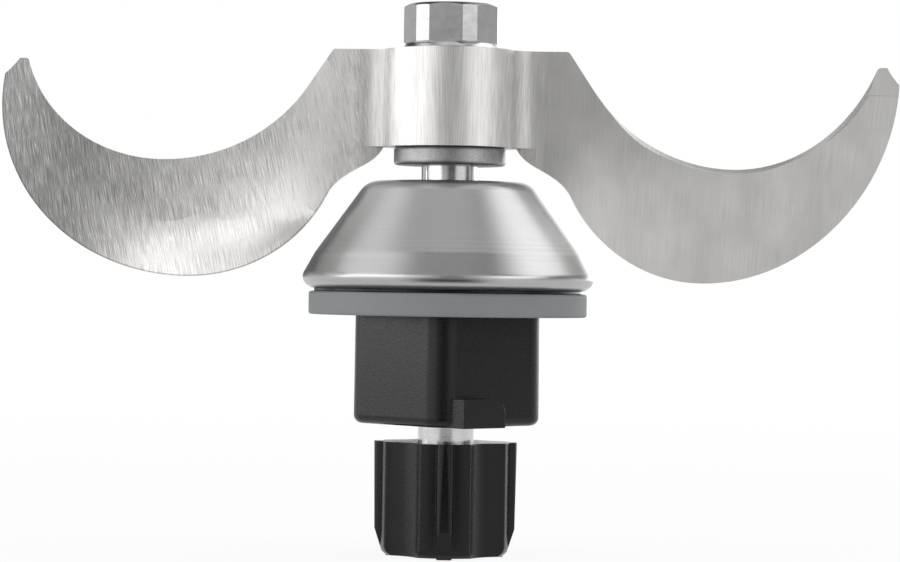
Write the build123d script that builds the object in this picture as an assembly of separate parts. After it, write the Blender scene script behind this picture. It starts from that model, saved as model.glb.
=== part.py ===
from build123d import *
from math import atan2, cos, degrees, hypot, pi, radians, sin, sqrt, tan
import os

# Driving dimensions in millimetres and degrees. Z = 0 is the gasket's underside, where the unit sits on
# the bowl's floor. The spindle turns about Z and the wings lie along X.

# Clearances: between turning pieces, between seated pieces, and between curved faces that pass each other
running_gap = 0.05
static_gap = 0.1
passing_gap = 0.3

# Spindle shaft and its thread, nominal M10
shaft_radius = 5.0
shaft_flat = 4.2
shaft_top = 54.9
shaft_end_chamfer = 0.6
blade_flat_bottom = 26.8
coupling_flat_top = -25.0
screw_hole_depth = 14.0

# Blade: hub
hub_radius = 11.9
hub_bottom = 30.0
hub_height = 17.35
hub_fillet = 4.5
bore_chamfer = 0.4

# Blade: outline of one wing in the XZ plane; the root's points are set out and down from the hub's corner
blade_reach = 80.0
shoulder_x = 21.0
shoulder_round = 0.8
flank_slope = -56.5
concave_low = 27.0
concave_root_radius = 30.8
tip_height = 45.2
tip_width = 3.7
tip_round = 0.7
convex_share = 0.575
convex_low = 6.4
root_corner_out = 9.9
root_corner_drop = 8.57
root_bend_out = 4.6
root_bend_drop = 3.9
root_notch_slope = -64.0

# Blade: twist and thickness; the section is set at stations that lie closer together near the root
twist_level = 41.0
twist_start = 21.6
twist_ease = 5.0
tip_lean = 38.0
twist_stations = 7
station_growth = 1.6
wing_margin = 4.0
root_thickness = 2.8
tip_thickness = 1.6

# Blade: wide grind under the convex edge, on the side that faces up, and narrow bevel on the other side
grind_width = 8.0
grind_blend = 0.45
grind_tip_angle = 4.0
grind_root_angle = 8.0
grind_tip_steps = 7
grind_root_steps = 4
grind_root_width = 3.2
grind_root_depth = 0.1
edge_land = 0.45
bevel_width = 0.7
bevel_blend = 0.1
bevel_depth = 0.5
bevel_start = 0.12
bevel_run_in = 2
bevel_root_angle = 6.0
bevel_tip_angle = 3.0
bevel_steps = 5
cutter_overhang = 1.0
cutter_rise = 4.0
tip_facet_level = 40.4
tip_facet_angle = 7.0
tip_facet_block = (30.0, 10.0, 20.0)

# Nut, M10, with its corners cut flat and a conical washer face
nut_across_flats = 16.0
nut_corner_cut = 1.65
nut_height = 8.2
nut_chamfer_angle = 30.0
nut_chamfer_radius = 7.6
nut_clock = -7.6
nut_flange_height = 1.1
nut_flange_edge = 0.3
nut_flange_top_radius = 8.15
nut_flange_radius = 8.75

# Spacer washer under the hub
washer_radius = 10.0
washer_round = 0.6

# Gasket
gasket_radius = 24.85
gasket_width = 5.35
gasket_height = 4.1
gasket_round = 0.5

# Domed cover, drawn from sheet; its lower points are set in from the gasket's edge and up from its top
cover_top = 23.9
cover_wall = 1.0
cover_shoulder_radius = 14.6
cover_shoulder_round = 4.0
cover_crease_inset = 1.05
cover_crease_rise = 7.0
cover_crease_round = 3.0
cover_skirt_overhang = 1.7
cover_skirt_rise = 2.0
cover_skirt_round = 1.8
cover_rim_inset = 0.45
cover_rim_rise = 0.6
cover_hole_gap = 1.2

# Bearing housing, moulded
housing_flats = 25.6
housing_corner = 4.0
housing_bottom = -19.4
housing_draft = 0.3
housing_foot_round = 1.5
housing_turn = 42.0
spigot_floor = 0.6
flange_lip_inset = 0.95
flange_height = 2.9
tower_radius = 14.0
tower_top_round = 1.5
gusset_count = 8
gusset_thickness = 1.6
gusset_drop = 3.3
gusset_foot_inset = 2.85
gusset_foot_height = 1.0
gusset_root_radius = 11.5
web_bore_radius = 9.5

# Bayonet lugs at the housing's foot, on two opposite faces
lug_width = 9.7
lug_height = 5.1
lug_depth = 3.4
lug_offset = -5.45
lug_round = 2.6

# Ball bearings, 10 x 22 x 6
bearing_outer_radius = 11.0
bearing_width = 6.0
ball_diameter = 3.175
ball_pitch_radius = 8.0
ball_count = 7
race_gap = 0.06
ring_shoulder = 1.05
shield_thickness = 0.3
shield_inset = 0.3
cage_half_height = 1.9
cage_half_width = 0.55
upper_bearing_seat = 6.0
lower_bearing_seat = -9.0
bearing_spacer_wall = 1.5

# Retaining rings and shim
shaft_ring_outer = 6.9
shaft_ring_thickness = 1.0
shaft_groove_depth = 0.2
bore_ring_inner = 9.4
bore_ring_thickness = 1.0
bore_groove_depth = 0.5
ring_opening = 3.0
ring_eye_radius = 0.9
ring_eye_hole = 0.4
ring_eye_offset = 2.2
shim_thickness = 0.5
shim_inner_radius = 9.6

# Shaft seal and its garter spring; lip heights are measured down from the underside of the web
seal_width = 7.0
seal_bottom = 14.0
seal_wall = 1.4
seal_web = 1.3
lip_flare = 1.2
lip_relief = 0.5
lip_waist = 1.1
lip_neck = 1.4
lip_edge_drop = 2.6
lip_foot_drop = 3.8
spring_drop = 2.6
spring_radius = 0.55
spring_pitch_radius = 6.75
spring_ledge = 0.4

# O-ring under the cover
o_ring_radius = 12.5
o_ring_section = 0.8
o_ring_groove_depth = 1.0

# Drive coupling, moulded
coupling_top = -22.5
coupling_bottom = -42.9
coupling_radius = 12.75
coupling_waist_radius = 12.53
coupling_waist = -38.0
coupling_nose_radius = 11.25
coupling_nose_round = 0.9
lobe_count = 4
lobe_radius = 11.5
lobe_lift = 0.3
flute_radius = 8.0
flute_depth = 2.1
flute_edge_round = 0.7
bead_radius = 1.55
recess_radius = 6.6
recess_floor = -35.5

# Coupling screw, M5, and its washer
screw_radius = 2.5
screw_length = 12.0
screw_head_radius = 4.25
screw_head_height = 4.2
screw_socket = 4.0
screw_socket_depth = 2.4
screw_washer_radius = 5.6
screw_washer_thickness = 1.2

# Values that follow from the driving dimensions
hub_top = hub_bottom + hub_height
nut_foot = hub_top + nut_flange_height
nut_top = hub_top + nut_height
twist_begin = twist_start - twist_ease
root_plate_length = 2 * twist_begin
shaft_bore = shaft_radius + running_gap
flat_bore = shaft_flat + running_gap
ball_radius = ball_diameter / 2
twist_rate = tan(radians(tip_lean)) / (blade_reach - twist_start)
gasket_inner_radius = gasket_radius - gasket_width
cover_crease = (gasket_radius - cover_crease_inset, gasket_height + cover_crease_rise)
cover_skirt = (gasket_radius + cover_skirt_overhang, gasket_height + cover_skirt_rise)
cover_rim = (gasket_radius - cover_rim_inset, gasket_height + cover_rim_rise)
housing_half = housing_flats / 2
flange_radius = cover_rim[0] - cover_wall - static_gap
flange_lip_radius = gasket_radius - flange_lip_inset
flange_top = gasket_height + flange_height
tower_top = cover_top - cover_wall + o_ring_groove_depth - 2 * o_ring_section
gusset_top = tower_top - gusset_drop
gusset_foot_radius = gasket_radius - gusset_foot_inset
flange_bore = gasket_inner_radius - static_gap
shaft_end = recess_floor + passing_gap
upper_ring_seat = upper_bearing_seat + bearing_width
lower_bearing_foot = lower_bearing_seat - bearing_width
lower_ring_seat = lower_bearing_foot - shaft_ring_thickness
bore_ring_seat = lower_bearing_foot - shim_thickness - bore_ring_thickness
bore_ring_outer = bearing_outer_radius + bore_groove_depth
seal_top = seal_bottom + seal_width
screw_seat = recess_floor - screw_washer_thickness


def revolve_profile(points):
    """Solid of revolution about Z from a closed outline of (radius, height) points."""
    return revolve(make_face(Plane.XZ * Polyline(*points, close=True)), Axis.Z)


def rod(radius, low, high):
    """Plain cylinder about Z between two heights."""
    return Pos(0, 0, low) * extrude(Circle(radius), high - low)


def tube(inner, outer, low, high):
    """Ring with square edges between two radii and two heights."""
    return Pos(0, 0, low) * extrude(Circle(outer) - Circle(inner), high - low)


def around(count, shape):
    """Copies of a shape, evenly spaced about Z."""
    return [Rot(0, 0, 360 * n / count) * shape for n in range(count)]


def two_flats(radius, flat, low, high):
    """Cylinder about Z with two opposite flats that face +Y and -Y."""
    section = Circle(radius) & Rectangle(4 * radius, 2 * flat)
    return Pos(0, 0, low) * extrude(section, high - low)


def twist(x):
    """Slope of the wing's section, dY/dZ, at a distance from the axis; it grows evenly past the root."""
    if x <= twist_begin:
        return 0.0
    if x < twist_start + twist_ease:
        return twist_rate * (x - twist_begin) ** 2 / (4 * twist_ease)
    return twist_rate * (x - twist_start)


def half_thickness(x):
    """Half the wing's thickness along Y, which grows with the twist so that the plate's own stays."""
    share = max(0.0, x - twist_begin) / (blade_reach - twist_begin)
    plate = root_thickness + (tip_thickness - root_thickness) * share
    return plate / 2 * sqrt(1 + twist(x) ** 2)


def wing_face_y(x, z, side):
    """Y of the wing's face at a point of its front view; side is 1 for the upper face, -1 for the lower."""
    return (twist_level - z) * twist(x) + side * half_thickness(x)


def bowl_radius(bottom, point):
    """Radius of the circle that is level at its bottom and passes through a point above it."""
    run, rise = point[0] - bottom[0], point[1] - bottom[1]
    return (run ** 2 + rise ** 2) / (2 * rise)


def on_circle(centre, radius, angle):
    """Point on a circle at an angle in degrees."""
    return (centre[0] + radius * cos(radians(angle)), centre[1] + radius * sin(radians(angle)))


def circle_x(centre, radius, z, side):
    """X where a circle crosses a height, on its left (-1) or right (1)."""
    return centre[0] + side * sqrt(radius ** 2 - (z - centre[1]) ** 2)


def angle_at(centre, point):
    """Angle in degrees of a point seen from a centre, between -270 and 90."""
    angle = degrees(atan2(point[1] - centre[1], point[0] - centre[0]))
    return angle if angle <= 90 else angle - 360


def half_way_down(centre, radius, point):
    """Middle of the arc from a point on a circle to the circle's lowest point."""
    return on_circle(centre, radius, (angle_at(centre, point) - 90) / 2)


# Wing outline: the deepest points of both edges, the corners, and the four arcs that join them
shoulder = (shoulder_x, hub_top)
notch = (hub_radius, hub_bottom)
root_corner = (hub_radius + root_corner_out, hub_bottom - root_corner_drop)
root_bend = (hub_radius + root_bend_out, hub_bottom - root_bend_drop)
convex_x = convex_share * blade_reach
convex_bottom = (convex_x, convex_low)
convex_tip_radius = blade_reach - convex_x
convex_tip_centre = (convex_x, convex_low + convex_tip_radius)
convex_root_radius = bowl_radius(convex_bottom, root_corner)
convex_root_centre = (convex_x, convex_low + convex_root_radius)
tip_outer = (circle_x(convex_tip_centre, convex_tip_radius, tip_height, 1), tip_height)
tip_inner = (tip_outer[0] - tip_width, tip_height)
flank_normal = on_circle((0, 0), 1, flank_slope + 90)
root_arc_drop = hub_top - concave_low - concave_root_radius
concave_x = shoulder_x + (concave_root_radius + root_arc_drop * flank_normal[1]) / flank_normal[0]
concave_bottom = (concave_x, concave_low)
concave_root_centre = (concave_x, concave_low + concave_root_radius)
flank = on_circle(concave_root_centre, -concave_root_radius, flank_slope + 90)
concave_tip_radius = bowl_radius(concave_bottom, tip_inner)
concave_tip_centre = (concave_x, concave_low + concave_tip_radius)


def wing_outline():
    """Closed front view of one wing: flank and crescent above, convex edge and hub notch below."""
    root_angle = angle_at(convex_root_centre, root_corner)
    flank_middle = half_way_down(concave_root_centre, concave_root_radius, flank)
    inner_middle = half_way_down(concave_tip_centre, concave_tip_radius, tip_inner)
    outer_middle = half_way_down(convex_tip_centre, convex_tip_radius, tip_outer)
    root_middle = half_way_down(convex_root_centre, convex_root_radius, root_corner)
    edges = [
        Line((0, hub_top), shoulder),
        Line(shoulder, flank),
        ThreePointArc(flank, flank_middle, concave_bottom),
        ThreePointArc(concave_bottom, inner_middle, tip_inner),
        Line(tip_inner, tip_outer),
        ThreePointArc(tip_outer, outer_middle, convex_bottom),
        ThreePointArc(convex_bottom, root_middle, root_corner),
        Spline(
            root_corner,
            root_bend,
            notch,
            tangents=[
                on_circle((0, 0), 1, root_angle - 90),
                on_circle((0, 0), 1, 180 + root_notch_slope),
            ],
        ),
        Line(notch, (0, hub_bottom)),
        Line((0, hub_bottom), (0, hub_top)),
    ]
    face = make_face(Curve() + edges)
    tips = [v for v in face.vertices() if abs(v.Y - tip_height) < 0.01 and v.X > concave_x]
    face = fillet(tips, tip_round)
    shoulders = [v for v in face.vertices() if abs(v.Y - hub_top) < 0.01 and v.X > hub_radius]
    return fillet(shoulders, shoulder_round)


def wing_section(x, low, high):
    """Leaning section of the wing's plate in the plane at x."""
    corners = [
        (wing_face_y(x, low, -1), low),
        (wing_face_y(x, low, 1), low),
        (wing_face_y(x, high, 1), high),
        (wing_face_y(x, high, -1), high),
    ]
    plane = Plane(origin=(x, 0, 0), x_dir=(0, 1, 0), z_dir=(1, 0, 0))
    return make_face(plane * Polyline(*corners, close=True))


def edge_station(centre, radius, angle, facing, width, depth):
    """Station of a grind on an arc of the outline; facing is 1 where the plate lies outside the circle."""
    inward = (facing * cos(radians(angle)), facing * sin(radians(angle)))
    return on_circle(centre, radius, angle), inward, width, depth


def edge_cutter(stations, side, blend):
    """Wedge that grinds one face of the wing along an edge of its outline.

    Each station is (edge point, inward direction, ground width, ground depth) in the front view. The ground
    flat meets the wing's face in an arc that reaches a share of the width to either side.
    """
    sections = []
    for (x, z), (nx, nz), width, depth in stations:
        plane = Plane(origin=(x, 0, z), x_dir=(nx, 0, nz), z_dir=(nz, 0, -nx))
        up = plane.y_dir.Y
        inner_y = wing_face_y(x + nx * width, z + nz * width, side)
        edge_y = wing_face_y(x, z, side) - side * depth
        slope = (inner_y - edge_y) / width
        reach = width * (1 + blend)
        far_y = wing_face_y(x + nx * reach, z + nz * reach, side)
        near = (width * (1 - blend), inner_y - slope * width * blend)
        bend = (width, (2 * inner_y + near[1] + far_y) / 4)
        outer = (-cutter_overhang, edge_y - slope * cutter_overhang)
        floor = [(r, y * up) for r, y in (outer, near, bend, (reach, far_y))]
        roof = [(r, (y + side * cutter_rise) * up) for r, y in ((reach, far_y), outer)]
        edges = [
            Line(floor[0], floor[1]),
            ThreePointArc(*floor[1:]),
            Line(floor[3], roof[0]),
            Line(roof[0], roof[1]),
            Line(roof[1], floor[0]),
        ]
        sections.append(make_face(plane * (Curve() + edges)))
    return loft(sections)


def grind_stations():
    """Stations of the wide grind, from the tip round the convex edge, running out towards the hub."""
    tip_angle = angle_at(convex_tip_centre, tip_outer) + grind_tip_angle
    root_angle = angle_at(convex_root_centre, root_corner) + grind_root_angle
    stations = []
    for step in range(grind_tip_steps + 1):
        angle = tip_angle + (-90 - tip_angle) * step / grind_tip_steps
        x, z = on_circle(convex_tip_centre, convex_tip_radius, angle)
        depth = 2 * half_thickness(x) - edge_land
        stations.append(edge_station(convex_tip_centre, convex_tip_radius, angle, -1, grind_width, depth))
    for step in range(1, grind_root_steps + 1):
        share = step / grind_root_steps
        angle = -90 + (root_angle + 90) * share
        x, z = on_circle(convex_root_centre, convex_root_radius, angle)
        depth = (2 * half_thickness(x) - edge_land) * (1 - (1 - grind_root_depth) * share)
        width = grind_width + (grind_root_width - grind_width) * share
        stations.append(edge_station(convex_root_centre, convex_root_radius, angle, -1, width, depth))
    return stations


def bevel_stations():
    """Stations of the narrow bevel along the concave edge, running in over its first steps."""
    root_angle = angle_at(concave_root_centre, flank) + bevel_root_angle
    tip_angle = angle_at(concave_tip_centre, tip_inner) + bevel_tip_angle
    stations = []
    for step in range(bevel_steps + 1):
        angle = root_angle + (-90 - root_angle) * step / bevel_steps
        share = min(1.0, bevel_start + (1 - bevel_start) * step / bevel_run_in)
        stations.append(edge_station(
            concave_root_centre, concave_root_radius, angle, 1, bevel_width * share, bevel_depth * share
        ))
    for step in range(1, bevel_steps + 1):
        angle = -90 + (tip_angle + 90) * step / bevel_steps
        stations.append(edge_station(
            concave_tip_centre, concave_tip_radius, angle, 1, bevel_width, bevel_depth
        ))
    return stations


def tip_facet_cutter():
    """Block whose inner face grinds the tip's lower side, thinning it towards the top."""
    lean = degrees(atan2(twist(blade_reach), 1)) - tip_facet_angle
    block = Box(*tip_facet_block, align=(Align.CENTER, Align.MAX, Align.MIN))
    face_y = wing_face_y(blade_reach, tip_facet_level, -1)
    return Pos(blade_reach, face_y, tip_facet_level) * Rot(lean, 0, 0) * block


def wing():
    """One twisted wing with its grinds."""
    low = convex_low - wing_margin
    high = hub_top + wing_margin
    span = blade_reach + wing_margin - twist_begin
    stops = [twist_begin + span * (n / twist_stations) ** station_growth for n in range(twist_stations + 1)]
    slab = Box(twist_begin, root_thickness, high - low, align=(Align.MIN, Align.CENTER, Align.MIN))
    twisted = loft([wing_section(x, low, high) for x in stops])
    front = Pos(0, blade_reach, 0) * extrude(Plane.XZ * wing_outline(), 2 * blade_reach)
    plate = front & (Pos(0, 0, low) * slab + twisted)
    plate -= edge_cutter(grind_stations(), 1, grind_blend)
    plate -= edge_cutter(bevel_stations(), -1, bevel_blend)
    return plate - tip_facet_cutter()


def blade():
    """Cast blade: hub with blended roots, two wings half a turn apart, and a bore with two flats."""
    root = Circle(hub_radius) + Rectangle(root_plate_length, root_thickness)
    corners = [v for v in root.vertices() if abs(hypot(v.X, v.Y) - hub_radius) < 0.01]
    section = fillet(corners, hub_fillet) & Rectangle(root_plate_length, 4 * hub_radius)
    hub = Pos(0, 0, hub_bottom) * extrude(section, hub_height)
    one = wing()
    solid = hub + one + Rot(0, 0, 180) * one
    bore = two_flats(shaft_bore, flat_bore, hub_bottom - 1, hub_top + 1)
    ends = revolve_profile([
        (0, hub_bottom),
        (shaft_bore + bore_chamfer, hub_bottom),
        (shaft_bore, hub_bottom + bore_chamfer),
        (shaft_bore, hub_top - bore_chamfer),
        (shaft_bore + bore_chamfer, hub_top),
        (0, hub_top),
    ])
    return solid - bore - (ends - rod(shaft_bore, hub_bottom - 1, hub_top + 1))


def lock_nut():
    """Hexagon nut with flat corners, chamfered at both ends, over a conical washer face."""
    hexagon = RegularPolygon(nut_across_flats / 2, 6, major_radius=False)
    section = chamfer(hexagon.vertices(), nut_corner_cut)
    body = Pos(0, 0, nut_foot) * Rot(0, 0, nut_clock) * extrude(section, nut_top - nut_foot)
    corner = nut_across_flats / 2 / cos(pi / 6)
    drop = (corner - nut_chamfer_radius) * tan(radians(nut_chamfer_angle))
    flare = (corner - nut_flange_top_radius) * tan(radians(nut_chamfer_angle))
    barrel = revolve_profile([
        (0, nut_foot),
        (nut_flange_top_radius, nut_foot),
        (corner, nut_foot + flare),
        (corner, nut_top - drop),
        (nut_chamfer_radius, nut_top),
        (0, nut_top),
    ])
    flange = revolve_profile([
        (0, hub_top),
        (nut_flange_radius, hub_top),
        (nut_flange_radius, hub_top + nut_flange_edge),
        (nut_flange_top_radius, nut_foot),
        (0, nut_foot),
    ])
    return (body & barrel) + flange - rod(shaft_bore, hub_top - 1, nut_top + 1)


def spacer_washer():
    """Thick washer that carries the hub on the shoulders of the shaft's flats."""
    ring = rod(washer_radius, blade_flat_bottom, hub_bottom)
    ring = fillet(ring.edges().filter_by(GeomType.CIRCLE), washer_round)
    return ring - two_flats(shaft_bore, flat_bore, blade_flat_bottom - 1, hub_bottom + 1)


def spindle_shaft():
    """Shaft with flats for the blade and the coupling, two ring grooves and a tapped end."""
    top_part = two_flats(shaft_radius, shaft_flat, blade_flat_bottom, shaft_top)
    middle = rod(shaft_radius, coupling_flat_top, blade_flat_bottom)
    low_part = two_flats(shaft_radius, shaft_flat, shaft_end, coupling_flat_top)
    envelope = revolve_profile([
        (0, shaft_end - 1),
        (shaft_radius + 1, shaft_end - 1),
        (shaft_radius + 1, shaft_top - shaft_end_chamfer - 1),
        (shaft_radius - shaft_end_chamfer, shaft_top),
        (0, shaft_top),
    ])
    body = (top_part + middle + low_part) & envelope
    for seat in (upper_ring_seat, lower_ring_seat):
        groove = tube(
            shaft_radius - shaft_groove_depth, shaft_radius + 1,
            seat - running_gap, seat + shaft_ring_thickness + running_gap,
        )
        body -= groove
    return body - rod(screw_radius + running_gap, shaft_end - 1, shaft_end + screw_hole_depth)


def cover_profile():
    """Outer outline of the domed cover as a half section, closed along the axis."""
    corner = (cover_shoulder_radius, cover_top)
    outline = Polyline(
        (0, cover_top), corner, cover_crease, cover_skirt, cover_rim, (0, cover_rim[1]), close=True
    )
    face = make_face(outline)
    bends = {corner: cover_shoulder_round, cover_crease: cover_crease_round, cover_skirt: cover_skirt_round}
    for (x, y), size in bends.items():
        face = fillet([v for v in face.vertices() if hypot(v.X - x, v.Y - y) < 0.01], size)
    return face


def dome_cover():
    """Drawn cover: conical shell with a bulged, turned-in rim and a hole for the shaft."""
    outer = cover_profile()
    section = outer - offset(outer, -cover_wall)
    section -= Pos(0, cover_rim[1]) * Rectangle(2 * (cover_rim[0] - cover_wall), 2.2 * cover_wall)
    section -= Rectangle(2 * (shaft_radius + cover_hole_gap), 4 * cover_top)
    return revolve(Plane.XZ * section, Axis.Z)


def bowl_gasket():
    """Flat ring that seals the flange against the bowl's floor."""
    ring = tube(gasket_inner_radius, gasket_radius, 0, gasket_height)
    outer_edges = [e for e in ring.edges().filter_by(GeomType.CIRCLE) if e.radius > gasket_radius - 0.1]
    return fillet(outer_edges, gasket_round)


def housing_section(height):
    """Rounded square of the housing's lower body at a height, with its draft."""
    grow = 2 * tan(radians(housing_draft)) * (spigot_floor - height)
    size = housing_flats + grow
    return Pos(0, 0, height) * RectangleRounded(size, size, housing_corner + grow / 2)


def bayonet_lug():
    """D-shaped lug on the face that looks along +X before the housing is turned."""
    outline = Rectangle(lug_width, lug_height, align=(Align.CENTER, Align.MIN))
    corner = [v for v in outline.vertices() if v.X > 0 and v.Y > lug_height / 2]
    outline = fillet(corner, lug_round)
    start = housing_half - housing_corner
    plane = Plane(origin=(start, lug_offset, housing_bottom), x_dir=(0, 1, 0), z_dir=(1, 0, 0))
    return extrude(plane * outline, housing_corner + lug_depth)


def bearing_housing():
    """Moulded housing: square body below the floor, flange and ribbed tower under the cover."""
    body = loft([housing_section(housing_bottom), housing_section(spigot_floor)])
    foot = [e for e in body.edges() if abs(e.center().Z - housing_bottom) < 0.01]
    body = fillet(foot, housing_foot_round)
    body = Rot(0, 0, housing_turn - 90) * (body + around(2, bayonet_lug()))
    flange = revolve_profile([
        (0, spigot_floor),
        (flange_bore, spigot_floor),
        (flange_bore, gasket_height),
        (flange_lip_radius, gasket_height),
        (flange_lip_radius, cover_rim[1]),
        (flange_radius, cover_rim[1]),
        (flange_radius, flange_top),
        (tower_radius, flange_top),
        (tower_radius, tower_top - tower_top_round),
        (tower_radius - tower_top_round, tower_top),
        (0, tower_top),
    ])
    gusset_outline = Polyline(
        (gusset_root_radius, flange_top - gusset_foot_height),
        (gusset_foot_radius, flange_top - gusset_foot_height),
        (gusset_foot_radius, flange_top + gusset_foot_height),
        (tower_radius, gusset_top),
        (gusset_root_radius, gusset_top),
        close=True,
    )
    gusset = extrude(Plane.XZ * make_face(gusset_outline), gusset_thickness / 2, both=True)
    solid = body + flange + around(gusset_count, gusset)
    solid -= rod(web_bore_radius, housing_bottom - 1, tower_top + 1)
    solid -= rod(bearing_outer_radius, upper_bearing_seat, tower_top + 1)
    solid -= rod(bearing_outer_radius, housing_bottom - 1, lower_bearing_seat)
    solid -= rod(
        bore_ring_outer, bore_ring_seat - running_gap, bore_ring_seat + bore_ring_thickness + running_gap
    )
    solid -= tube(
        o_ring_radius - o_ring_section - static_gap, o_ring_radius + o_ring_section + static_gap,
        tower_top - o_ring_groove_depth, tower_top + 1,
    )
    return solid


def cover_o_ring():
    """O-ring in the tower's top, pressed by the cover's underside."""
    level = tower_top - o_ring_groove_depth + o_ring_section
    profile = Plane.XZ * Pos(o_ring_radius, level) * Circle(o_ring_section)
    return revolve(profile, Axis.Z)


def bearing_ring_outer(seat):
    """Outer ring with its ball groove and a rebate for each shield."""
    mid = seat + bearing_width / 2
    ring = tube(ball_pitch_radius + ring_shoulder, bearing_outer_radius, seat, seat + bearing_width)
    groove = Plane.XZ * Pos(ball_pitch_radius, mid) * Circle(ball_radius + race_gap)
    return ring - revolve(groove, Axis.Z)


def bearing_ring_inner(seat):
    """Inner ring with its ball groove."""
    mid = seat + bearing_width / 2
    ring = tube(shaft_bore, ball_pitch_radius - ring_shoulder, seat, seat + bearing_width)
    groove = Plane.XZ * Pos(ball_pitch_radius, mid) * Circle(ball_radius + race_gap)
    return ring - revolve(groove, Axis.Z)


def bearing_balls(seat):
    """Ring of balls."""
    ball = Pos(ball_pitch_radius, 0, seat + bearing_width / 2) * Sphere(ball_radius)
    return Compound(around(ball_count, ball))


def bearing_cage(seat):
    """Cage ring with a pocket for each ball."""
    mid = seat + bearing_width / 2
    cage = tube(
        ball_pitch_radius - cage_half_width, ball_pitch_radius + cage_half_width,
        mid - cage_half_height, mid + cage_half_height,
    )
    pocket = Pos(ball_pitch_radius, 0, mid) * Rot(0, 90, 0) * Cylinder(ball_radius + race_gap, ball_radius)
    return cage - around(ball_count, pocket)


def bearing_shields(seat):
    """Two thin shields, held at the outer ring and clear of the inner one."""
    inner = ball_pitch_radius - ring_shoulder + passing_gap
    outer = ball_pitch_radius + ring_shoulder - running_gap
    low = tube(inner, outer, seat + shield_inset, seat + shield_inset + shield_thickness)
    high_base = seat + bearing_width - shield_inset - shield_thickness
    high = tube(inner, outer, high_base, high_base + shield_thickness)
    return Compound([low, high])


def bearing_spacer():
    """Sleeve that keeps the two inner rings apart."""
    return tube(shaft_bore, shaft_bore + bearing_spacer_wall, lower_bearing_seat, upper_bearing_seat)


def open_ring(inner, outer, eye_radius, seat, thickness):
    """Flat spring ring, open at one side between two eyes that are centred at a radius."""
    band = Circle(outer) - Circle(inner)
    band -= Pos(eye_radius, 0) * Rectangle(4 * ring_eye_radius, ring_opening)
    for side in (1, -1):
        place = Pos(eye_radius, side * ring_eye_offset)
        band = band + place * Circle(ring_eye_radius) - place * Circle(ring_eye_hole)
    return Pos(0, 0, seat) * extrude(band, thickness)


def shaft_ring(seat):
    """Retaining ring in a groove of the shaft."""
    return open_ring(
        shaft_radius - shaft_groove_depth, shaft_ring_outer, shaft_ring_outer - ring_eye_radius / 2,
        seat, shaft_ring_thickness,
    )


def bore_ring():
    """Retaining ring in the groove of the housing's bore."""
    return open_ring(
        bore_ring_inner, bore_ring_outer - running_gap, bore_ring_inner + ring_eye_radius / 2,
        bore_ring_seat, bore_ring_thickness,
    )


def shim_ring():
    """Shim that takes up the play between the lower bearing and its retaining ring."""
    bottom = lower_bearing_foot - shim_thickness
    return tube(shim_inner_radius, bearing_outer_radius - static_gap, bottom, lower_bearing_foot)


def shaft_seal():
    """Lip seal: outer wall, web on the wet side, and a lip that hugs the shaft under a garter spring."""
    web = seal_top - seal_web
    seat = spring_pitch_radius - spring_radius
    return revolve_profile([
        (bearing_outer_radius, seal_bottom),
        (bearing_outer_radius, seal_top),
        (shaft_bore + lip_flare, seal_top),
        (shaft_bore, web - lip_edge_drop),
        (shaft_bore + lip_relief, web - lip_foot_drop),
        (seat + spring_ledge, web - lip_foot_drop),
        (seat, web - spring_drop - spring_radius / 2),
        (seat, web - spring_drop + spring_radius / 2),
        (shaft_bore + lip_waist, web - spring_drop + lip_waist),
        (shaft_bore + lip_flare + lip_neck, web),
        (bearing_outer_radius - seal_wall, web),
        (bearing_outer_radius - seal_wall, seal_bottom),
    ])


def seal_spring():
    """Garter spring that presses the lip on the shaft, as one ring."""
    coil = Plane.XZ * Pos(spring_pitch_radius, seal_top - seal_web - spring_drop) * Circle(spring_radius)
    return revolve(coil, Axis.Z)


def drive_coupling():
    """Moulded coupling: four lobes with a bead on each, a tapered nose and a recess for the screw."""
    tall = coupling_top - coupling_bottom
    flute_centre = lobe_radius - flute_depth + flute_radius
    flute = Rot(0, 0, 180 / lobe_count) * Pos(flute_centre, 0) * Circle(flute_radius)
    bead = Pos(coupling_radius - bead_radius, 0) * Circle(bead_radius)
    lobes = Circle(lobe_radius) - around(lobe_count, flute)
    lobes = fillet(lobes.vertices(), flute_edge_round)
    beads = Sketch() + around(lobe_count, bead)
    body = Pos(0, 0, coupling_bottom + lobe_lift) * extrude(lobes, tall - lobe_lift)
    body += Pos(0, 0, coupling_bottom) * extrude(beads, tall)
    envelope = revolve_profile([
        (0, coupling_bottom),
        (coupling_nose_radius - coupling_nose_round, coupling_bottom),
        (coupling_nose_radius, coupling_bottom + coupling_nose_round),
        (coupling_waist_radius, coupling_waist),
        (coupling_radius, coupling_top),
        (0, coupling_top),
    ])
    body = body & envelope
    body -= rod(shaft_bore, coupling_flat_top, coupling_top + 1)
    body -= two_flats(shaft_bore, flat_bore, recess_floor - 1, coupling_flat_top)
    return body - rod(recess_radius, coupling_bottom - 1, recess_floor)


def screw_washer():
    """Washer between the coupling and its screw."""
    return tube(screw_radius + static_gap, screw_washer_radius, screw_seat, recess_floor)


def coupling_screw():
    """Socket screw that holds the coupling on the shaft's end."""
    head_bottom = screw_seat - screw_head_height
    head = rod(screw_head_radius, head_bottom, screw_seat)
    shank = rod(screw_radius, screw_seat, screw_seat + screw_length)
    socket = extrude(RegularPolygon(screw_socket / 2, 6, major_radius=False), screw_socket_depth)
    return head + shank - Pos(0, 0, head_bottom) * socket


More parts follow.
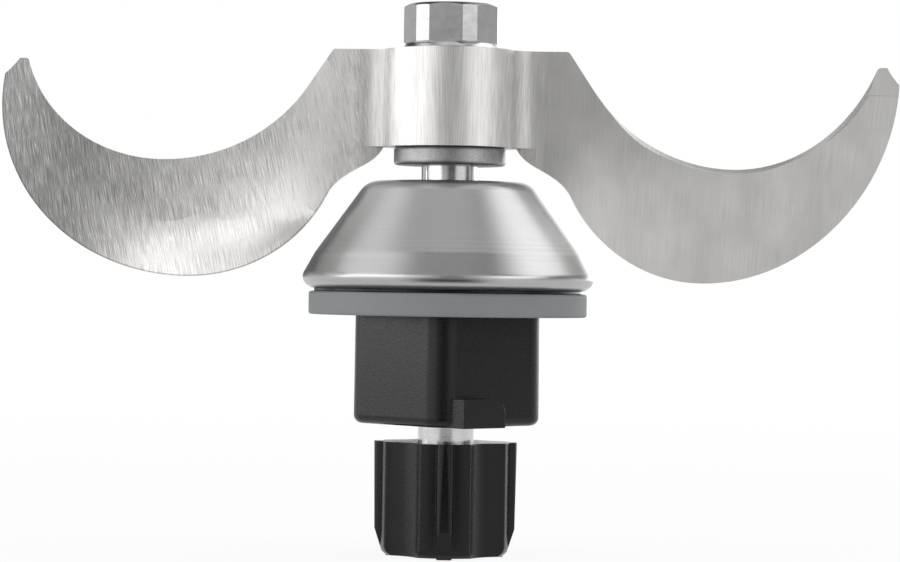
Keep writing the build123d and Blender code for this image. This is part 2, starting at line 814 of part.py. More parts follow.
pieces = {
    "lock_nut": lock_nut(),
    "blade": blade(),
    "spacer_washer": spacer_washer(),
    "spindle_shaft": spindle_shaft(),
    "dome_cover": dome_cover(),
    "cover_o_ring": cover_o_ring(),
    "bowl_gasket": bowl_gasket(),
    "bearing_housing": bearing_housing(),
    "shaft_seal": shaft_seal(),
    "seal_spring": seal_spring(),
    "upper_shaft_ring": shaft_ring(upper_ring_seat),
    "lower_shaft_ring": shaft_ring(lower_ring_seat),
    "bore_ring": bore_ring(),
    "shim_ring": shim_ring(),
    "bearing_spacer": bearing_spacer(),
    "drive_coupling": drive_coupling(),
    "screw_washer": screw_washer(),
    "coupling_screw": coupling_screw(),
}
for name, seat in (("upper", upper_bearing_seat), ("lower", lower_bearing_foot)):
    pieces[name + "_outer_ring"] = bearing_ring_outer(seat)
    pieces[name + "_inner_ring"] = bearing_ring_inner(seat)
    pieces[name + "_balls"] = bearing_balls(seat)
    pieces[name + "_cage"] = bearing_cage(seat)
    pieces[name + "_shields"] = bearing_shields(seat)

os.makedirs("parts", exist_ok=True)
for node, shape in pieces.items():
    export_step(shape, "parts/" + node + ".step")
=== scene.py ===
"""Looks of the bowl blade unit: the finishes of its pieces and its studio."""

import logging
import math
from dataclasses import dataclass, field
from enum import Enum
from typing import Any, Mapping, Sequence

import bpy
from mathutils import Matrix, Vector

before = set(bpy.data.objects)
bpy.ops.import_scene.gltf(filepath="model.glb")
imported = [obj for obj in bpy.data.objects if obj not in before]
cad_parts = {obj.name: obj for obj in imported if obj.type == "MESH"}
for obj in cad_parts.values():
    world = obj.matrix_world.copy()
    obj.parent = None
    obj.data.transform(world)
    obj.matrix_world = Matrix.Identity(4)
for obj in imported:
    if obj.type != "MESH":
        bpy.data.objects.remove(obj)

LOG = logging.getLogger("blade_unit")
MM = 0.001
BEVEL_SAMPLES = 6
MIX_SOCKETS = {"RGBA": (6, 7, 2), "VECTOR": (4, 5, 1)}
Colour = tuple[float, float, float, float]
Span = tuple[float, float]
Grain = tuple[float, float, float]
Arc = tuple[float, float, float]


def grey(value: float, warmth: float = 0.0) -> Colour:
    """Grey with a little warmth, or coolness where it is negative."""
    return (value * (1 + warmth), value, value * (1 - warmth), 1.0)


def metres(span: Span) -> Span:
    """Turns a span from millimetres into metres."""
    return span[0] * MM, span[1] * MM


def even(size: float) -> Grain:
    """Grain of the same size along each axis."""
    return size, size, size


class Wire:
    """Output socket of a node tree, on which sums are written as Python expressions."""

    def __init__(self, tree: bpy.types.NodeTree, socket: bpy.types.NodeSocket) -> None:
        """Keeps the tree and the socket."""
        self.tree = tree
        self.socket = socket

    def calculate(self, operation: str, *values: "Wire | float", clamp: bool = False) -> "Wire":
        """Adds a Math node.

        Args:
            operation: The node's operation.
            values: Its inputs in order.
            clamp: Whether the result is held between 0 and 1.

        Returns:
            The node's result.
        """
        node = self.tree.nodes.new("ShaderNodeMath")
        node.operation = operation
        node.use_clamp = clamp
        for target, value in zip(node.inputs, values):
            if isinstance(value, Wire):
                self.tree.links.new(value.socket, target)
            else:
                target.default_value = value
        return Wire(self.tree, node.outputs[0])

    def __add__(self, other: "Wire | float") -> "Wire":
        """Sum."""
        return self.calculate("ADD", self, other)

    __radd__ = __add__

    def __sub__(self, other: "Wire | float") -> "Wire":
        """Difference."""
        return self.calculate("SUBTRACT", self, other)

    def __rsub__(self, other: float) -> "Wire":
        """Difference from a number."""
        return self.calculate("SUBTRACT", other, self)

    def __mul__(self, other: "Wire | float") -> "Wire":
        """Product."""
        return self.calculate("MULTIPLY", self, other)

    __rmul__ = __mul__

    def __truediv__(self, other: "Wire | float") -> "Wire":
        """Quotient."""
        return self.calculate("DIVIDE", self, other)

    def __rtruediv__(self, other: float) -> "Wire":
        """Quotient of a number."""
        return self.calculate("DIVIDE", other, self)

    def __pow__(self, other: float) -> "Wire":
        """Power."""
        return self.calculate("POWER", self, other)

    def __gt__(self, other: "Wire | float") -> "Wire":
        """1 where this is the greater, otherwise 0."""
        return self.calculate("GREATER_THAN", self, other)

    def size(self) -> "Wire":
        """Absolute value."""
        return self.calculate("ABSOLUTE", self)

    def sign(self) -> "Wire":
        """Minus one, zero or one."""
        return self.calculate("SIGN", self)

    def clamped(self) -> "Wire":
        """Held between 0 and 1."""
        return self.calculate("ADD", self, 0.0, clamp=True)

    def swing(self, share: float) -> "Wire":
        """Noise around 0.5, turned into a share around zero."""
        return (self - 0.5) * share

    def smooth(self, low: float, high: float) -> "Wire":
        """Smooth step.

        Args:
            low: Value at which the step starts.
            high: Value at which it ends, below the start for a falling step.

        Returns:
            A mask that goes from 0 at the start to 1 at the end.
        """
        share = ((self - low) / (high - low)).clamped()
        return share * share * (3.0 - 2.0 * share)


class Graph:
    """Node tree with one way to add any node."""

    def __init__(self, tree: bpy.types.NodeTree) -> None:
        """Empties the tree."""
        self.tree = tree
        tree.nodes.clear()

    def add(
        self,
        kind: str,
        settings: Mapping[str, Any] | None = None,
        sockets: Mapping[str | int, Any] | None = None,
    ) -> bpy.types.Node:
        """Adds a node.

        Args:
            kind: The node's type.
            settings: Its settings, set first.
            sockets: Values or wires of its sockets.

        Returns:
            The node.
        """
        node = self.tree.nodes.new(kind)
        for key, value in (settings or {}).items():
            setattr(node, key, value)
        for key, value in (sockets or {}).items():
            if isinstance(value, Wire):
                self.tree.links.new(value.socket, node.inputs[key])
            else:
                node.inputs[key].default_value = value
        return node

    def wire(self, node: bpy.types.Node, output: str | int = 0) -> Wire:
        """Wire of a node's output."""
        return Wire(self.tree, node.outputs[output])

    def place(self) -> Wire:
        """Object coordinates in metres."""
        return self.wire(self.add("ShaderNodeTexCoord"), "Object")

    def facing(self) -> Wire:
        """Direction that the surface faces, in the object's frame."""
        return self.wire(self.add("ShaderNodeTexCoord"), "Normal")

    def parts(self, vector: Wire) -> tuple[Wire, Wire, Wire]:
        """The three numbers of a vector."""
        node = self.add("ShaderNodeSeparateXYZ", None, {0: vector})
        return self.wire(node, 0), self.wire(node, 1), self.wire(node, 2)

    def vector(self, x: Wire, y: Wire, z: Wire) -> Wire:
        """Vector from three numbers."""
        return self.wire(self.add("ShaderNodeCombineXYZ", None, {0: x, 1: y, 2: z}))

    def stretched(self, place: Wire, grain: Grain, lean: float = 0.0) -> Wire:
        """Turns coordinates and divides them by the size of a grain.

        Args:
            place: The coordinates in metres.
            grain: Size of the grain along each turned axis, in millimetres.
            lean: Turn about the y axis, in degrees.

        Returns:
            Coordinates in which the grain is about one unit.
        """
        sizes = tuple(size * MM for size in grain)
        sockets = {"Vector": place, "Rotation": (0.0, math.radians(lean), 0.0), "Scale": sizes}
        return self.wire(self.add("ShaderNodeMapping", {"vector_type": "TEXTURE"}, sockets))

    def noise(
        self, place: Wire, grain: Grain, detail: float = 2.0, roughness: float = 0.5, lean: float = 0.0
    ) -> Wire:
        """Noise between 0 and 1, around 0.5.

        Args:
            place: The coordinates in metres.
            grain: Size of the grain along each turned axis, in millimetres.
            detail: Layers of finer noise.
            roughness: Strength of the finer layers.
            lean: Turn of the grain about the y axis, in degrees.

        Returns:
            The noise.
        """
        vector = self.stretched(place, grain, lean)
        sockets = {"Vector": vector, "Scale": 1.0, "Detail": detail, "Roughness": roughness}
        return self.wire(self.add("ShaderNodeTexNoise", None, sockets))

    def cells(self, place: Wire, size: float, smoothness: float) -> Wire:
        """Soft round cells.

        Args:
            place: The coordinates in metres.
            size: Size of a cell in millimetres.
            smoothness: How softly the cells run into each other.

        Returns:
            Distance from a cell's middle, in cells.
        """
        vector = self.stretched(place, even(size))
        sockets = {"Vector": vector, "Scale": 1.0, "Smoothness": smoothness}
        return self.wire(self.add("ShaderNodeTexVoronoi", {"feature": "SMOOTH_F1"}, sockets))

    def mix(self, kind: str, share: Wire, first: Any, second: Any) -> Wire:
        """Mixes two colours or two vectors.

        Args:
            kind: RGBA for colours, VECTOR for vectors.
            share: Share of the second, from 0 to 1.
            first: The first colour or vector.
            second: The second one.

        Returns:
            The mix.
        """
        first_socket, second_socket, result = MIX_SOCKETS[kind]
        sockets = {0: share, first_socket: first, second_socket: second}
        return self.wire(self.add("ShaderNodeMix", {"data_type": kind}, sockets), result)

    def shade(self, value: Wire, dark: Colour, light: Colour) -> Wire:
        """Colour between two, by a value from 0 to 1."""
        return self.mix("RGBA", value.clamped(), dark, light)

    def bump(self, height: Wire, depth: float, rounding: float = 0.0, where: Wire | None = None) -> Wire:
        """Bumped normal.

        Args:
            height: Height from 0 to 1.
            depth: Depth of the relief in millimetres.
            rounding: Radius over which edges look rounded, in millimetres.
            where: Mask of the places that are rounded, all over if left out.

        Returns:
            The normal.
        """
        sockets: dict[str, Any] = {"Height": height, "Distance": depth * MM, "Strength": 1.0}
        if rounding:
            bevel = self.add("ShaderNodeBevel", {"samples": BEVEL_SAMPLES}, {"Radius": rounding * MM})
            sockets["Normal"] = self.wire(bevel)
        if where is not None:
            plain = self.wire(self.add("ShaderNodeNewGeometry"), "Normal")
            sockets["Normal"] = self.mix("VECTOR", where, plain, sockets["Normal"])
        return self.wire(self.add("ShaderNodeBump", None, sockets))


@dataclass(frozen=True)
class Finish:
    """A finish with the numbers that are the same all over.

    In each finish the tone or value runs from 0 for its dark colour to 1 for its light one. A field that is
    named after a pattern or a place, such as fine_tone, hub_rough or cell_relief, is what that pattern or
    place adds to the tone, the roughness or the height.
    """

    name: str
    metallic: float = 0.0
    specular: float = 0.5

    def surface(self, graph: Graph) -> dict[str, Any]:
        """Values or wires of the sockets that vary; each finish has its own."""
        raise NotImplementedError

    def material(self) -> bpy.types.Material:
        """Builds the material.

        Returns:
            The new material.
        """
        material = bpy.data.materials.new(self.name)
        material.use_nodes = True
        graph = Graph(material.node_tree)
        sockets = {
            "Metallic": self.metallic,
            "Specular IOR Level": self.specular,
        }
        sockets.update(self.surface(graph))
        shader = graph.add("ShaderNodeBsdfPrincipled", None, sockets)
        graph.add("ShaderNodeOutputMaterial", None, {"Surface": graph.wire(shader)})
        return material


@dataclass(frozen=True)
class GroundSteel(Finish):
    """Blade steel: coarse ground on the faces that look up, fine ground on those that look down.

    Reach is the distance from the axis along the wings. Arcs, spans and grains are in millimetres, and a span
    runs from where a mask is 0 to where it is 1. The convex edge is two arcs in the front view, each with its
    centre and radius. The heel is where the wide grind runs out towards the hub, and the finish rounds its
    shallow folds. Besides grain, the colour holds painted light at the root and on the wide grind, and
    painted shade at the tips, in the fillet and in a thin line along the convex edge.
    """

    name: str = "ground_steel"
    metallic: float = 1.0
    dark: float = 0.30
    light: float = 0.95
    dark_warmth: float = 0.01
    light_warmth: float = 0.012

    tip_arc: Arc = (46.0, 40.4, 34.0)
    root_arc: Arc = (46.0, 33.4, 27.0)
    hub_reach: Span = (18.0, 13.0)
    fillet_inside: Span = (10.6, 11.6)
    fillet_outside: Span = (16.0, 14.6)
    root_reach: Span = (38.0, 22.0)
    tip_reach: Span = (42.0, 76.0)
    grind_reach: Span = (19.0, 24.0)
    grind_depth: Span = (11.5, 5.0)
    # Painted shade: a thin dark line along the convex edge, for the dark reflection in its rounding.
    painted_edge_shade_reach: Span = (20.0, 23.0)
    painted_edge_shade_depth: Span = (0.32, 0.12)
    heel_inside: Span = (19.0, 23.0)
    heel_outside: Span = (37.0, 33.0)
    heel_edge: Span = (0.8, 2.5)
    heel_depth: Span = (10.0, 7.0)
    heel_height: Span = (34.0, 29.0)
    heel_rounding: float = 3.0

    coarse_grain: Grain = (0.11, 1.5, 5.0)
    coarse_lean: float = -12.0
    stroke_grain: Grain = (0.12, 1.5, 3.0)
    stroke_lean: float = -15.0
    stroke_start: float = 0.58
    stroke_gain: float = 9.0
    fine_grain: Grain = (0.09, 1.5, 9.0)
    fine_lean: float = -2.0
    cloud_grain: Grain = (7.0, 7.0, 9.0)
    hub_stretch: float = 8.0

    plain_tone: float = 0.52
    fine_tone: float = 0.5
    cloud_tone: float = 0.3
    # Painted light: the root of the wings is made lighter on every face.
    root_painted_light_tone: float = 0.12
    lower_tone: float = -0.22
    hub_fine_tone: float = 0.7
    # Painted shade: the fillet between hub and wing is made darker.
    fillet_painted_shade_tone: float = -0.12
    coarse_tone: float = 2.5
    bright_tone: float = 0.8
    # Painted light: more on the root of the faces that look up.
    upper_root_painted_light_tone: float = 0.18
    # Painted light: the wide grind along the convex edge is made lighter.
    grind_painted_light_tone: float = 0.2
    # Painted shade: the tips of the faces that look up are made darker.
    tip_painted_shade_tone: float = -0.55
    # Painted shade of the thin line along the convex edge, on the faces that look up.
    painted_edge_shade_tone: float = -0.6

    roughness: float = 0.38
    upper_rough: float = 0.02
    hub_rough: float = 0.05
    fillet_rough: float = 0.12
    coarse_rough: float = 0.1

    relief_depth: float = 0.02
    fine_relief: float = 0.35
    coarse_relief: float = 0.6
    bright_relief: float = 0.35

    def scratches(self, graph: Graph, place: Wire, grain: Grain, lean: float) -> Wire:
        """Streaks that run up and down with a lean."""
        return graph.noise(place, grain, detail=3.0, roughness=0.6, lean=lean)

    def from_edge(self, reach: Wire, z: Wire) -> Wire:
        """Distance in metres from the convex edge, in the front view."""
        spans = []
        for x, level, radius in (self.root_arc, self.tip_arc):
            run, rise = reach - x * MM, z - level * MM
            spans.append(radius * MM - (run * run + rise * rise) ** 0.5)
        outer = reach > self.tip_arc[0] * MM
        return spans[0] * (1.0 - outer) + spans[1] * outer

    def heel(self, reach: Wire, edge: Wire, z: Wire) -> Wire:
        """Mask of the place where the wide grind runs out."""
        along = reach.smooth(*metres(self.heel_inside)) * reach.smooth(*metres(self.heel_outside))
        across = edge.smooth(*metres(self.heel_edge)) * edge.smooth(*metres(self.heel_depth))
        return along * across * z.smooth(*metres(self.heel_height))

    def surface(self, graph: Graph) -> dict[str, Any]:
        """Scratched colour with painted light and shade in places, roughness and relief."""
        x, y, z = graph.parts(graph.place())
        side = x.sign()
        reach = x.size()
        edge = self.from_edge(reach, z)
        hub = reach.smooth(*metres(self.hub_reach))
        upper = (graph.parts(graph.facing())[1] * side > 0.0) * (1.0 - hub)
        lower = (1.0 - upper) * (1.0 - hub)
        # Painted light: mask of the wings' root, which the tone makes lighter.
        root = reach.smooth(*metres(self.root_reach)) * (1.0 - hub)
        # Painted shade: mask of the wing tips, darker on the faces that look up.
        tip = reach.smooth(*metres(self.tip_reach))
        # Mask of the fillet, which raises the roughness and paints shade into the tone.
        fillet = reach.smooth(*metres(self.fillet_inside)) * reach.smooth(*metres(self.fillet_outside))
        # Painted light: mask of the wide grind, lighter on the faces that look up.
        grind = edge.smooth(*metres(self.grind_depth)) * reach.smooth(*metres(self.grind_reach))
        # Painted shade: mask of the thin dark line along the convex edge.
        painted_edge_shade = edge.smooth(*metres(self.painted_edge_shade_depth)) * reach.smooth(*metres(self.painted_edge_shade_reach))

        turned = graph.vector(reach * -1.0, y * side * hub * self.hub_stretch, z)
        coarse = self.scratches(graph, turned, self.coarse_grain, self.coarse_lean)
        strokes = self.scratches(graph, turned, self.stroke_grain, self.stroke_lean)
        bright = ((strokes - self.stroke_start) * self.stroke_gain).clamped()
        fine = self.scratches(graph, turned, self.fine_grain, self.fine_lean)
        cloud = graph.noise(turned, self.cloud_grain)

        strokes_tone = coarse.swing(self.coarse_tone) + bright * self.bright_tone
        # Painted light at the root and on the grind, painted shade at the tips, in the fillet and at the
        # edge.
        places_tone = root * self.upper_root_painted_light_tone + grind * self.grind_painted_light_tone + tip * self.tip_painted_shade_tone
        tone = self.plain_tone + fine.swing(self.fine_tone) + cloud.swing(self.cloud_tone)
        tone = tone + root * self.root_painted_light_tone + lower * self.lower_tone + fillet * self.fillet_painted_shade_tone
        tone = tone + hub * fine.swing(self.hub_fine_tone)
        tone = tone + upper * (strokes_tone + places_tone + painted_edge_shade * self.painted_edge_shade_tone)
        rough = self.roughness + upper * self.upper_rough + hub * self.hub_rough
        rough = rough + fillet * self.fillet_rough + coarse.swing(self.coarse_rough)
        strokes_relief = coarse * self.coarse_relief + bright * self.bright_relief
        relief = fine * self.fine_relief + upper * strokes_relief
        rounded = upper * self.heel(reach, edge, z)
        return {
            "Base Color": graph.shade(
                tone, grey(self.dark, self.dark_warmth), grey(self.light, self.light_warmth)
            ),
            "Roughness": rough.clamped(),
            "Normal": graph.bump(relief, self.relief_depth, self.heel_rounding, rounded),
        }


@dataclass(frozen=True)
class PolishedSteel(Finish):
    """Polished turned steel of the nut, shaft and screw, with worn edges."""

    name: str = "polished_steel"
    metallic: float = 1.0
    light: float = 0.72
    dark: float = 0.42
    dark_warmth: float = 0.01
    roughness: float = 0.14
    line_grain: Grain = (30.0, 30.0, 0.12)
    smudge_grain: Grain = (2.2, 2.2, 1.6)
    plain_tone: float = 0.55
    line_tone: float = 0.3
    smudge_tone: float = 0.8
    smudge_rough: float = 0.12
    relief_depth: float = 0.002
    rounding: float = 0.12

    def surface(self, graph: Graph) -> dict[str, Any]:
        """Faint turned lines and smudges."""
        place = graph.place()
        lines = graph.noise(place, self.line_grain)
        smudge = graph.noise(place, self.smudge_grain, detail=4.0, roughness=0.65)
        tone = self.plain_tone + lines.swing(self.line_tone) + smudge.swing(self.smudge_tone)
        return {
            "Base Color": graph.shade(tone, grey(self.dark, self.dark_warmth), grey(self.light)),
            "Roughness": (self.roughness + smudge.swing(self.smudge_rough)).clamped(),
            "Normal": graph.bump(lines, self.relief_depth, self.rounding),
        }


@dataclass(frozen=True)
class SatinSteel(Finish):
    """Satin drawn steel of the cover, with turned lines round it.

    The lines are stronger in the band round the crease, which lies between two heights in millimetres.
    """

    name: str = "satin_steel"
    metallic: float = 1.0
    light: float = 0.54
    dark: float = 0.32
    roughness: float = 0.3
    turned_grain: Grain = (60.0, 60.0, 0.16)
    mottle_grain: Grain = even(1.2)
    crease_bottom: Span = (8.6, 10.6)
    crease_top: Span = (13.6, 11.6)
    plain_tone: float = 0.5
    turned_tone: float = 0.25
    crease_tone: float = 0.7
    mottle_tone: float = 0.22
    mottle_rough: float = 0.08
    relief_depth: float = 0.006
    turned_relief: float = 0.3
    mottle_relief: float = 0.2

    def surface(self, graph: Graph) -> dict[str, Any]:
        """Turned lines, stronger near the crease, and soft mottling."""
        place = graph.place()
        height = graph.parts(place)[2]
        turned = graph.noise(place, self.turned_grain, detail=3.0)
        mottle = graph.noise(place, self.mottle_grain, detail=4.0, roughness=0.7)
        crease = height.smooth(*metres(self.crease_bottom)) * height.smooth(*metres(self.crease_top))
        tone = self.plain_tone + turned.swing(self.turned_tone) + mottle.swing(self.mottle_tone)
        tone = tone + crease * turned.swing(self.crease_tone)
        relief = turned * (self.turned_relief + crease) + mottle * self.mottle_relief
        return {
            "Base Color": graph.shade(tone, grey(self.dark), grey(self.light)),
            "Roughness": (self.roughness + mottle.swing(self.mottle_rough)).clamped(),
            "Normal": graph.bump(relief, self.relief_depth),
        }


@dataclass(frozen=True)
class SpeckledSteel(Finish):
    """Sand finished steel of the washers, with worn edges."""

    name: str = "speckled_steel"
    metallic: float = 1.0
    light: float = 0.60
    dark: float = 0.12
    roughness: float = 0.42
    speck_grain: Grain = even(0.22)
    patch_grain: Grain = even(2.5)
    plain_tone: float = 0.45
    speck_tone: float = 1.1
    patch_tone: float = 0.4
    speck_rough: float = 0.3
    relief_depth: float = 0.012
    rounding: float = 0.3

    def surface(self, graph: Graph) -> dict[str, Any]:
        """Fine speckle over soft patches."""
        place = graph.place()
        speck = graph.noise(place, self.speck_grain, detail=3.0, roughness=0.7)
        patch = graph.noise(place, self.patch_grain, detail=3.0)
        tone = self.plain_tone + speck.swing(self.speck_tone) + patch.swing(self.patch_tone)
        return {
            "Base Color": graph.shade(tone, grey(self.dark), grey(self.light)),
            "Roughness": (self.roughness + speck.swing(self.speck_rough)).clamped(),
            "Normal": graph.bump(speck, self.relief_depth, self.rounding),
        }


@dataclass(frozen=True)
class BearingSteel(Finish):
    """Ground bearing steel."""

    name: str = "bearing_steel"
    metallic: float = 1.0
    light: float = 0.72
    dark: float = 0.5
    roughness: float = 0.16
    line_grain: Grain = (40.0, 40.0, 0.08)
    patch_grain: Grain = even(3.0)
    plain_tone: float = 0.5
    line_tone: float = 0.35
    patch_tone: float = 0.3
    patch_rough: float = 0.08
    relief_depth: float = 0.001

    def surface(self, graph: Graph) -> dict[str, Any]:
        """Fine ground lines round the axis."""
        place = graph.place()
        lines = graph.noise(place, self.line_grain)
        patch = graph.noise(place, self.patch_grain)
        tone = self.plain_tone + lines.swing(self.line_tone) + patch.swing(self.patch_tone)
        return {
            "Base Color": graph.shade(tone, grey(self.dark), grey(self.light)),
            "Roughness": (self.roughness + patch.swing(self.patch_rough)).clamped(),
            "Normal": graph.bump(lines, self.relief_depth),
        }


@dataclass(frozen=True)
class SpringSteel(Finish):
    """Dark oiled spring steel of the retaining rings, the shim and the seal's spring."""

    name: str = "spring_steel"
    metallic: float = 1.0
    light: float = 0.24
    light_warmth: float = 0.02
    dark: float = 0.08
    roughness: float = 0.36
    blotch_grain: Grain = even(1.4)
    plain_tone: float = 0.5
    blotch_tone: float = 1.2
    blotch_rough: float = 0.2
    relief_depth: float = 0.004

    def surface(self, graph: Graph) -> dict[str, Any]:
        """Blotchy dark oxide."""
        blotch = graph.noise(graph.place(), self.blotch_grain, detail=4.0, roughness=0.6)
        tone = self.plain_tone + blotch.swing(self.blotch_tone)
        return {
            "Base Color": graph.shade(tone, grey(self.dark), grey(self.light, self.light_warmth)),
            "Roughness": (self.roughness + blotch.swing(self.blotch_rough)).clamped(),
            "Normal": graph.bump(blotch, self.relief_depth),
        }


@dataclass(frozen=True)
class Rubber(Finish):
    """Matte rubber of the gasket and the seals, a little darker and lighter than its tone in places."""

    name: str = "rubber"
    specular: float = 0.35
    tone: float = 0.2
    coolness: float = 0.02
    spread: float = 0.12
    roughness: float = 0.62
    skin_grain: Grain = even(0.12)
    cloud_grain: Grain = (4.0, 4.0, 2.0)
    plain_value: float = 0.5
    skin_value: float = 0.5
    cloud_value: float = 0.6
    cloud_rough: float = 0.12
    relief_depth: float = 0.006
    rounding: float = 0.2

    def surface(self, graph: Graph) -> dict[str, Any]:
        """Fine powdery skin with faint clouds."""
        place = graph.place()
        skin = graph.noise(place, self.skin_grain, detail=3.0, roughness=0.6)
        cloud = graph.noise(place, self.cloud_grain, detail=3.0)
        value = self.plain_value + skin.swing(self.skin_value) + cloud.swing(self.cloud_value)
        dark = grey(self.tone * (1 - self.spread), -self.coolness)
        light = grey(self.tone * (1 + self.spread), -self.coolness)
        return {
            "Base Color": graph.shade(value, dark, light),
            "Roughness": (self.roughness + cloud.swing(self.cloud_rough)).clamped(),
            "Normal": graph.bump(skin, self.relief_depth, self.rounding),
        }


@dataclass(frozen=True)
class MouldedPlastic(Finish):
    """Black moulded plastic with a spark textured skin, whose grain is in millimetres."""

    name: str = "moulded_plastic"
    tone: float = 0.022
    dark_share: float = 0.7
    light_share: float = 1.5
    roughness: float = 0.24
    grain: float = 0.28
    cell_share: float = 1.6
    cell_smoothness: float = 0.6
    wear_grain: Grain = even(5.0)
    plain_value: float = 0.4
    spark_value: float = 0.9
    wear_value: float = 0.5
    wear_rough: float = 0.12
    spark_rough: float = 0.5
    relief_depth: float = 0.014
    spark_relief: float = 0.7
    cell_relief: float = 0.4
    rounding: float = 0.3

    def surface(self, graph: Graph) -> dict[str, Any]:
        """Grained skin, a little dustier in places."""
        place = graph.place()
        spark = graph.noise(place, even(self.grain), detail=4.0, roughness=0.65)
        cell = graph.cells(place, self.grain * self.cell_share, self.cell_smoothness)
        wear = graph.noise(place, self.wear_grain, detail=3.0)
        value = self.plain_value + spark.swing(self.spark_value) + wear.swing(self.wear_value)
        rough = self.roughness + wear.swing(self.wear_rough) + spark.swing(self.spark_rough)
        relief = spark * self.spark_relief + cell * self.cell_relief
        dark, light = grey(self.tone * self.dark_share), grey(self.tone * self.light_share)
        return {
            "Base Color": graph.shade(value, dark, light),
            "Roughness": rough.clamped(),
            "Normal": graph.bump(relief, self.relief_depth, self.rounding),
        }


class Dressing(Enum):
    """Which finish each node of the frame wears."""

    NUT = ("lock_nut",)
    BLADE = ("blade",)
    WASHERS = ("spacer_washer", "screw_washer")
    SHAFT = ("spindle_shaft", "coupling_screw")
    COVER = ("dome_cover",)
    GASKET = ("bowl_gasket",)
    SEALS = ("shaft_seal", "cover_o_ring")
    HOUSING = ("bearing_housing",)
    COUPLING = ("drive_coupling",)
    SPRINGS = ("seal_spring", "upper_shaft_ring", "lower_shaft_ring", "bore_ring", "shim_ring")
    BEARINGS = (
        "bearing_spacer",
        "upper_outer_ring", "upper_inner_ring", "upper_balls", "upper_cage", "upper_shields",
        "lower_outer_ring", "lower_inner_ring", "lower_balls", "lower_cage", "lower_shields",
    )


FINISHES: dict[Dressing, Finish] = {
    Dressing.NUT: PolishedSteel("nut_steel", light=0.56, dark=0.32, roughness=0.16),
    Dressing.BLADE: GroundSteel(),
    Dressing.WASHERS: SpeckledSteel(),
    Dressing.SHAFT: PolishedSteel("shaft_steel", light=0.7, dark=0.4, roughness=0.12),
    Dressing.COVER: SatinSteel(),
    Dressing.GASKET: Rubber("gasket_rubber", tone=0.22),
    Dressing.SEALS: Rubber("seal_rubber", tone=0.02, coolness=0.0, roughness=0.5),
    Dressing.HOUSING: MouldedPlastic("housing_plastic", specular=0.28, tone=0.004),
    Dressing.COUPLING: MouldedPlastic("coupling_plastic", specular=0.25, tone=0.003, grain=0.34),
    Dressing.SPRINGS: SpringSteel(),
    Dressing.BEARINGS: BearingSteel(),
}


@dataclass
class Wardrobe:
    """Puts the finishes on the frame's own solids."""

    finishes: Mapping[Dressing, Finish] = field(default_factory=lambda: FINISHES)

    def dress(self, nodes: Mapping[str, bpy.types.Object]) -> None:
        """Dresses every node.

        Args:
            nodes: The frame's solids by name.
        """
        for dressing, finish in self.finishes.items():
            material = finish.material()
            for name in dressing.value:
                mesh = nodes[name].data
                mesh.materials.clear()
                mesh.materials.append(material)
                LOG.info("%s wears %s", name, finish.name)


@dataclass(frozen=True)
class SoftBox:
    """A soft patch of light in the surroundings.

    The azimuth is seen from the unit, in degrees from the viewer's side, positive to the viewer's right. The
    core is half the width that is fully lit, and the edge is half the width at which the light ends. The
    patch stands between two elevations, at which it fades over twice the fade.
    """

    azimuth: float
    core: float
    edge: float
    low: float
    high: float
    fade: float
    strength: float

    def light(self, x: Wire, y: Wire, z: Wire) -> Wire:
        """Light of the patch in a direction.

        Args:
            x: The direction's part to the right.
            y: Its part away from the viewer.
            z: Its part upwards.

        Returns:
            The added strength.
        """
        turn = math.radians(self.azimuth)
        level = (x * x + y * y) ** 0.5
        along = (x * math.sin(turn) - y * math.cos(turn)) / level
        wide = along.smooth(math.cos(math.radians(self.edge)), math.cos(math.radians(self.core)))
        rise = [math.sin(math.radians(e)) for e in (self.low - self.fade, self.low + self.fade)]
        fall = [math.sin(math.radians(e)) for e in (self.high + self.fade, self.high - self.fade)]
        return wide * z.smooth(*rise) * z.smooth(*fall) * self.strength


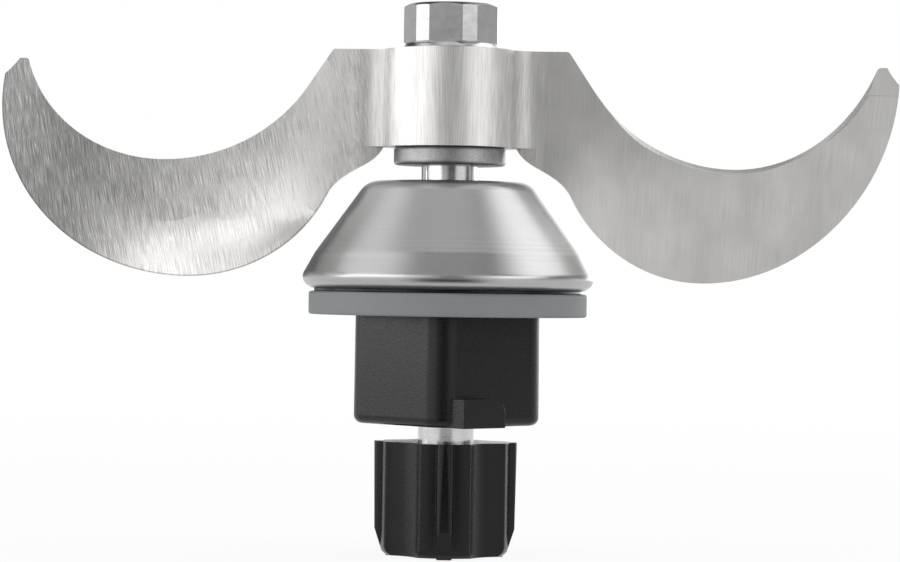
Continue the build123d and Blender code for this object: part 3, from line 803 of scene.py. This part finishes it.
@dataclass
class Studio:
    """Floor, surroundings and camera, with lengths in millimetres.

    For the camera and for reflections the floor mostly glows white. Near the unit a share of it is paint, so
    that the shadow shows. The front is a dark patch before the unit that only reflections see, like the dark
    room behind a photographer. The front's width is a span of the direction's part away from the viewer, and
    it starts and ends over two spans of distance.
    """

    floor_level: float = -42.9
    floor_size: float = 6000.0
    floor_paint: float = 0.9
    glow_share: float = 0.9
    far_reach: Span = (120.0, 700.0)
    front_paint: float = 0.06
    front_width: Span = (-0.8, -0.97)
    front_start: Span = (30.0, 90.0)
    front_end: Span = (560.0, 380.0)
    camera_side: float = 0.36
    camera_distance: float = 590.0
    camera_level: float = 6.2
    camera_roll: float = 0.85
    lens: float = 132.0
    sensor: float = 36.0
    nearest: float = 10.0
    farthest: float = 50000.0
    ambient: float = 0.12
    boxes: Sequence[SoftBox] = (
        SoftBox(-62, 12, 36, -28, 8, 7, 2.0),
        SoftBox(-64, 12, 34, 8, 26, 7, 2.6),
        SoftBox(-98, 10, 17, -28, 12, 7, 3.2),
        SoftBox(-128, 14, 26, -28, 12, 7, 0.6),
        SoftBox(-85, 20, 50, 27, 62, 8, 1.25),
        SoftBox(-24, 6, 22, -28, 9, 7, 0.4),
        SoftBox(-28, 6, 24, 9, 26, 7, 1.4),
        SoftBox(30, 6, 24, 9, 26, 7, 1.1),
        SoftBox(48, 10, 30, -28, 9, 7, 0.9),
        SoftBox(60, 8, 30, 9, 26, 7, 2.6),
        SoftBox(108, 10, 26, -28, 9, 7, 0.6),
        SoftBox(150, 14, 36, -28, 12, 7, 2.5),
        SoftBox(112, 25, 60, 27, 62, 8, 2.0),
        SoftBox(165, 15, 40, 9, 27, 7, 0.9),
        SoftBox(0, 20, 60, 27, 62, 8, 0.4),
        SoftBox(0, 120, 180, 68, 84, 6, 1.0),
    )

    def surroundings(self) -> None:
        """Soft light from all round, white behind the object for the camera."""
        world = bpy.data.worlds.new("studio_light")
        bpy.context.scene.world = world
        world.use_nodes = True
        graph = Graph(world.node_tree)
        direction = graph.parts(graph.wire(graph.add("ShaderNodeTexCoord"), "Generated"))
        light: Wire | float = self.ambient
        for box in self.boxes:
            light = box.light(*direction) + light
        ray = graph.add("ShaderNodeLightPath")
        seen = graph.wire(ray, "Is Camera Ray")
        strength = light * (1.0 - seen) + seen
        background = graph.add("ShaderNodeBackground", None, {"Color": grey(1.0), "Strength": strength})
        graph.add("ShaderNodeOutputWorld", None, {"Surface": graph.wire(background)})

    def floor(self) -> None:
        """Pale floor that looks white and keeps the object's soft shadow."""
        bpy.ops.object.select_all(action="DESELECT")
        bpy.ops.mesh.primitive_plane_add(size=self.floor_size * MM, location=(0, 0, self.floor_level * MM))
        plane = bpy.context.object
        plane.name = "studio_floor"
        material = bpy.data.materials.new("pale_floor")
        material.use_nodes = True
        graph = Graph(material.node_tree)
        ray = graph.add("ShaderNodeLightPath")
        camera_ray, glossy_ray = graph.wire(ray, "Is Camera Ray"), graph.wire(ray, "Is Glossy Ray")
        x, y = graph.parts(graph.place())[:2]
        reach = (x * x + y * y) ** 0.5
        far = reach.smooth(*metres(self.far_reach))
        front = (y / reach).smooth(*self.front_width) * glossy_ray
        front = front * reach.smooth(*metres(self.front_start)) * reach.smooth(*metres(self.front_end))
        colour = graph.shade(front, grey(self.floor_paint), grey(self.front_paint))
        paint = graph.add("ShaderNodeBsdfDiffuse", None, {"Color": colour})
        glow = graph.add("ShaderNodeEmission", None, {"Color": grey(1.0), "Strength": 1.0})
        share = (camera_ray + glossy_ray * (1.0 - front)) * (self.glow_share + far * (1.0 - self.glow_share))
        mix = graph.add("ShaderNodeMixShader", None, {0: share, 1: graph.wire(paint), 2: graph.wire(glow)})
        graph.add("ShaderNodeOutputMaterial", None, {"Surface": graph.wire(mix)})
        plane.data.materials.append(material)

    def camera(self) -> None:
        """Level camera in front of the unit, with the photo's slight roll."""
        data = bpy.data.cameras.new("front_camera")
        data.lens = self.lens
        data.sensor_width = self.sensor
        data.clip_start = self.nearest * MM
        data.clip_end = self.farthest * MM
        camera = bpy.data.objects.new("front_camera", data)
        bpy.context.collection.objects.link(camera)
        upright = Matrix.Rotation(math.radians(90), 4, "X")
        roll = Matrix.Rotation(math.radians(self.camera_roll), 4, "Z")
        spot = Vector((self.camera_side, -self.camera_distance, self.camera_level)) * MM
        camera.matrix_world = Matrix.Translation(spot) @ upright @ roll
        bpy.context.scene.camera = camera

    def build(self) -> None:
        """Sets up the whole studio."""
        self.surroundings()
        self.floor()
        self.camera()
        bpy.context.scene.view_settings.view_transform = "Standard"
        LOG.info("studio is set up")


def main() -> None:
    """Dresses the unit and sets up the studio."""
    logging.basicConfig(level=logging.INFO)
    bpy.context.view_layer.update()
    Wardrobe().dress(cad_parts)
    Studio().build()


if __name__ == "__main__":
    main()
